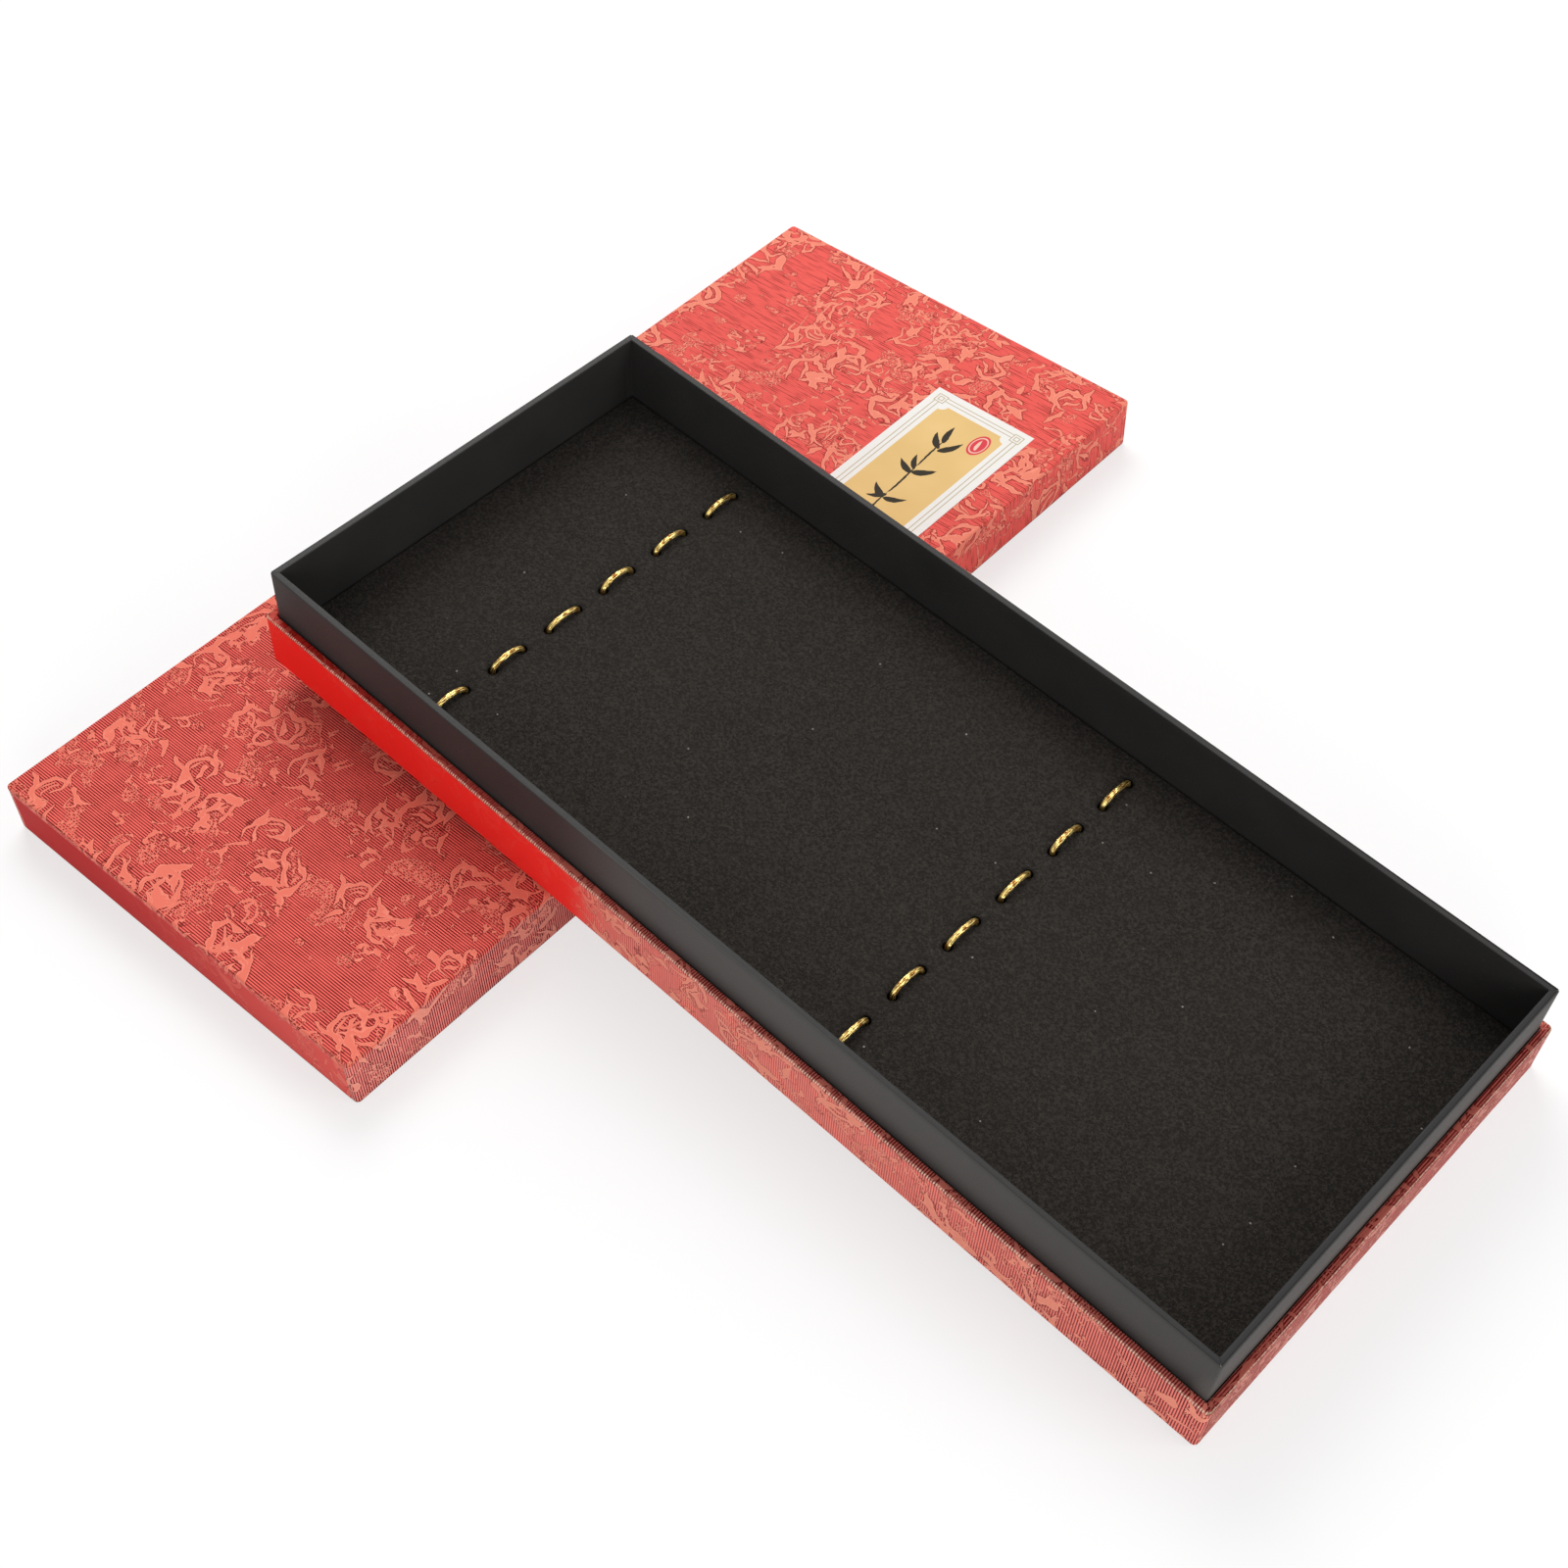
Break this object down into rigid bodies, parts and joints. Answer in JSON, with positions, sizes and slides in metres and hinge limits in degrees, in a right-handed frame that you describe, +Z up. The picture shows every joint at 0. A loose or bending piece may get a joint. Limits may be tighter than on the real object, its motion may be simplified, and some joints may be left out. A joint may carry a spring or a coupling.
{
  "type": "calligraphy set box",
  "caption": "Open rigid box for calligraphy brushes: a shallow lid lying flat, and a long tray with a raised neck, foam pad and elastic cord loops leaning across it.",
  "frame": {"origin": "on the table, under the middle of the box round the whole open arrangement", "axes": "+Z up, +X along the lid, +Y across the lid away from the tray's low end"},
  "size_m": [0.33, 0.3632, 0.0625],
  "materials": {
    "red_paper": "ribbed with a satin print",
    "black_paper": "matt, fine grained",
    "greyboard": "matt",
    "paper_tape": "matt",
    "label_paper": "satin",
    "foam": "matt, fine closed cells",
    "elastic_cord": "metallic braid"
  },
  "bodies": {
    "lid": {"lid_top_board": "greyboard", "lid_long_wall_near": "greyboard", "lid_long_wall_far": "greyboard", "lid_end_wall_left": "greyboard", "lid_end_wall_right": "greyboard", "lid_corner_tapes": "paper_tape", "lid_wrap": "red_paper", "lid_lining": "black_paper", "lid_label": "label_paper"},
    "tray": {"base_floor_board": "greyboard", "base_long_wall_left": "greyboard", "base_long_wall_right": "greyboard", "base_end_wall_high": "greyboard", "base_end_wall_low": "greyboard", "base_corner_tapes": "paper_tape", "base_wrap": "red_paper", "neck_long_wall_left": "greyboard", "neck_long_wall_right": "greyboard", "neck_end_wall_high": "greyboard", "neck_end_wall_low": "greyboard", "neck_wrap": "black_paper", "floor_lining": "black_paper"},
    "insert": {"foam_pad": "foam", "elastic_cord_high": "elastic_cord", "elastic_cord_low": "elastic_cord"}
  },
  "joints": [
    {"name": "tray_lift", "type": "slide", "parent": "lid", "child": "tray", "axis": [0, 0, 1], "range_m": [0, 0.08]},
    {"name": "insert_lift", "type": "slide", "parent": "tray", "child": "insert", "axis": [0, -0.0803, 0.9968], "range_m": [0, 0.045]}
  ]
}
